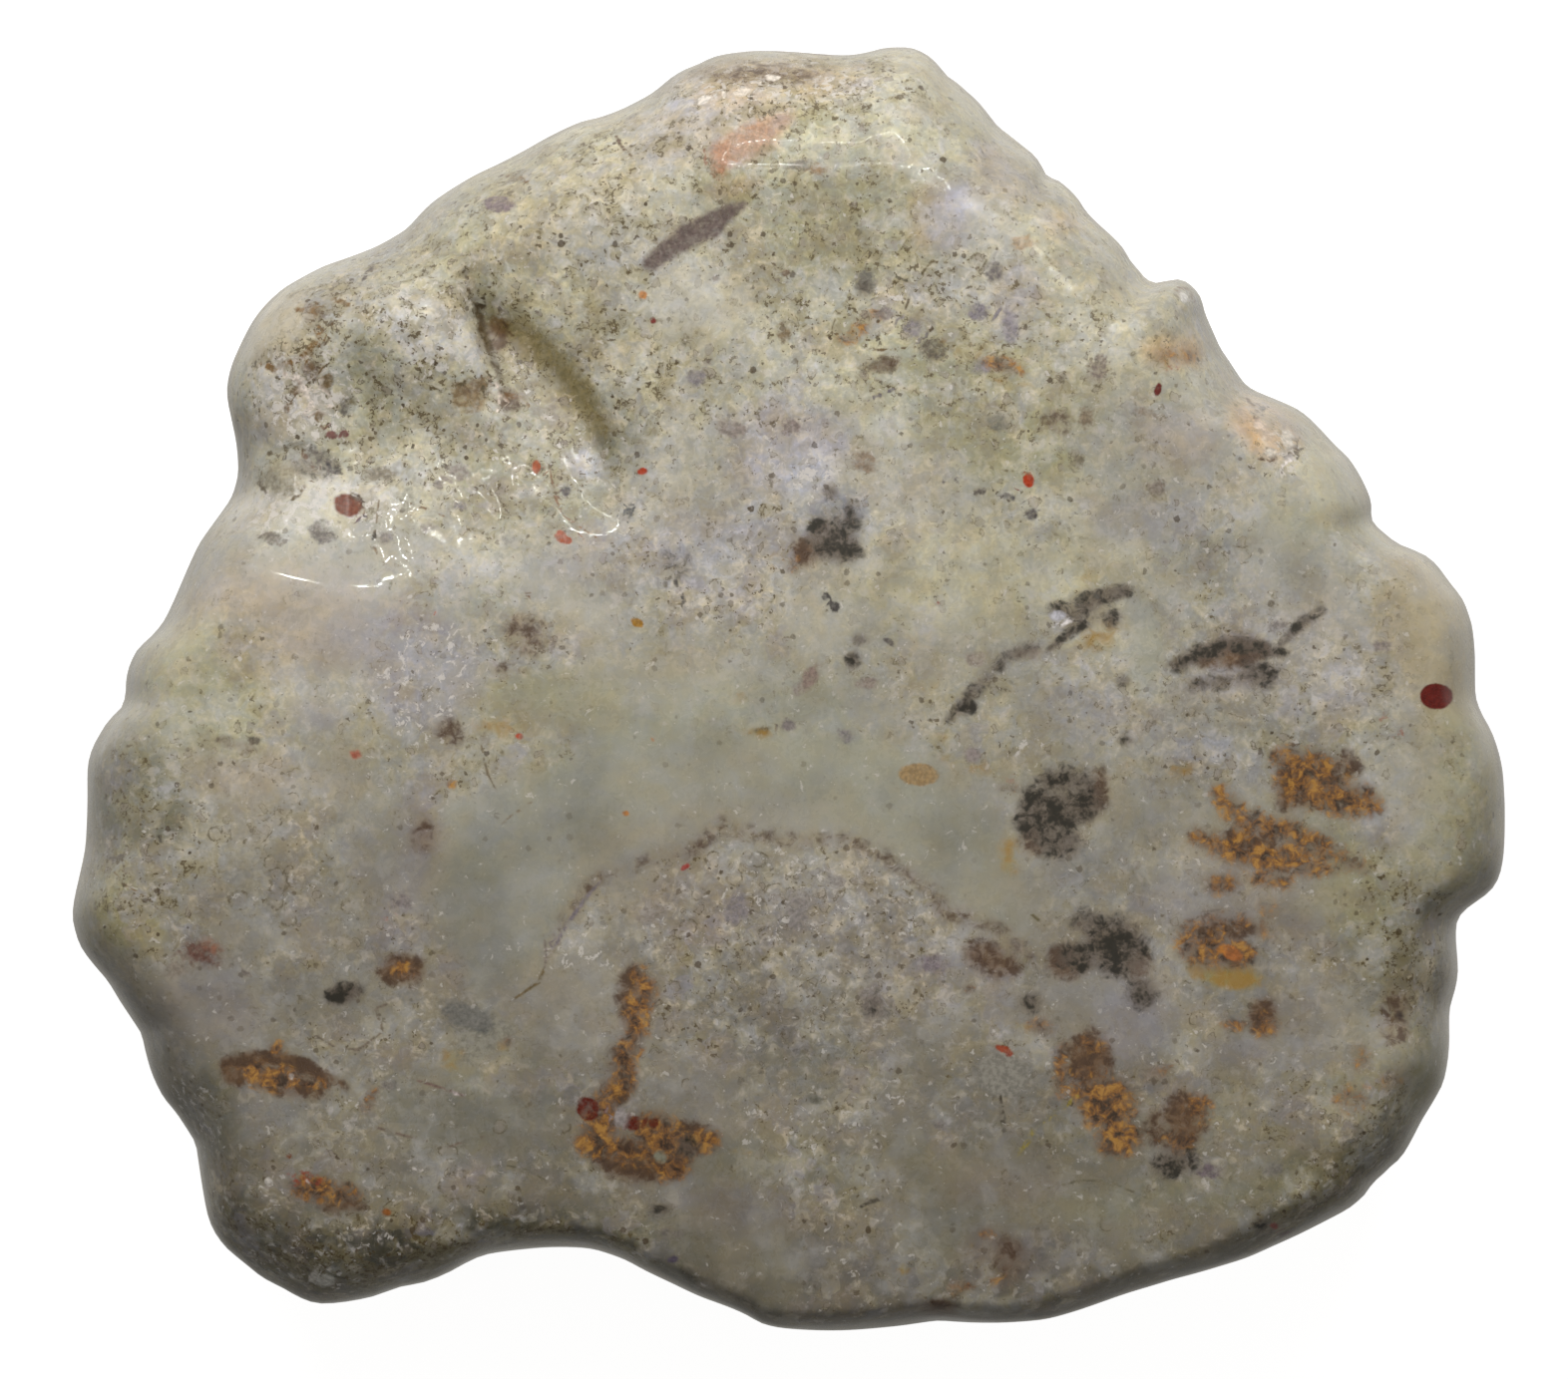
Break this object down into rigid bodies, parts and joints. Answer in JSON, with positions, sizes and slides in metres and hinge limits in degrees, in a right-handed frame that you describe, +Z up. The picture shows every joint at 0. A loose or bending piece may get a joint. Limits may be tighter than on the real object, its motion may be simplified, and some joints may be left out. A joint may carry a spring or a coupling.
{
  "type": "polished coprolite",
  "caption": "Flattened freeform stone with one polished, gently domed face, a rounded scalloped rim and a small flat spot underneath that it rests on.",
  "frame": {"origin": "on the resting plane, under the middle of the outline's bounding box", "axes": "+Z up out of the polished face, +X to the right and +Y to the top of the face as it is seen from above"},
  "size_m": [0.0601, 0.054, 0.0174],
  "materials": {
    "polished_coprolite": "polished, wet-looking, mottled cream, grey, olive and rust"
  },
  "bodies": {
    "root": {"coprolite": "polished_coprolite"}
  },
  "joints": []
}
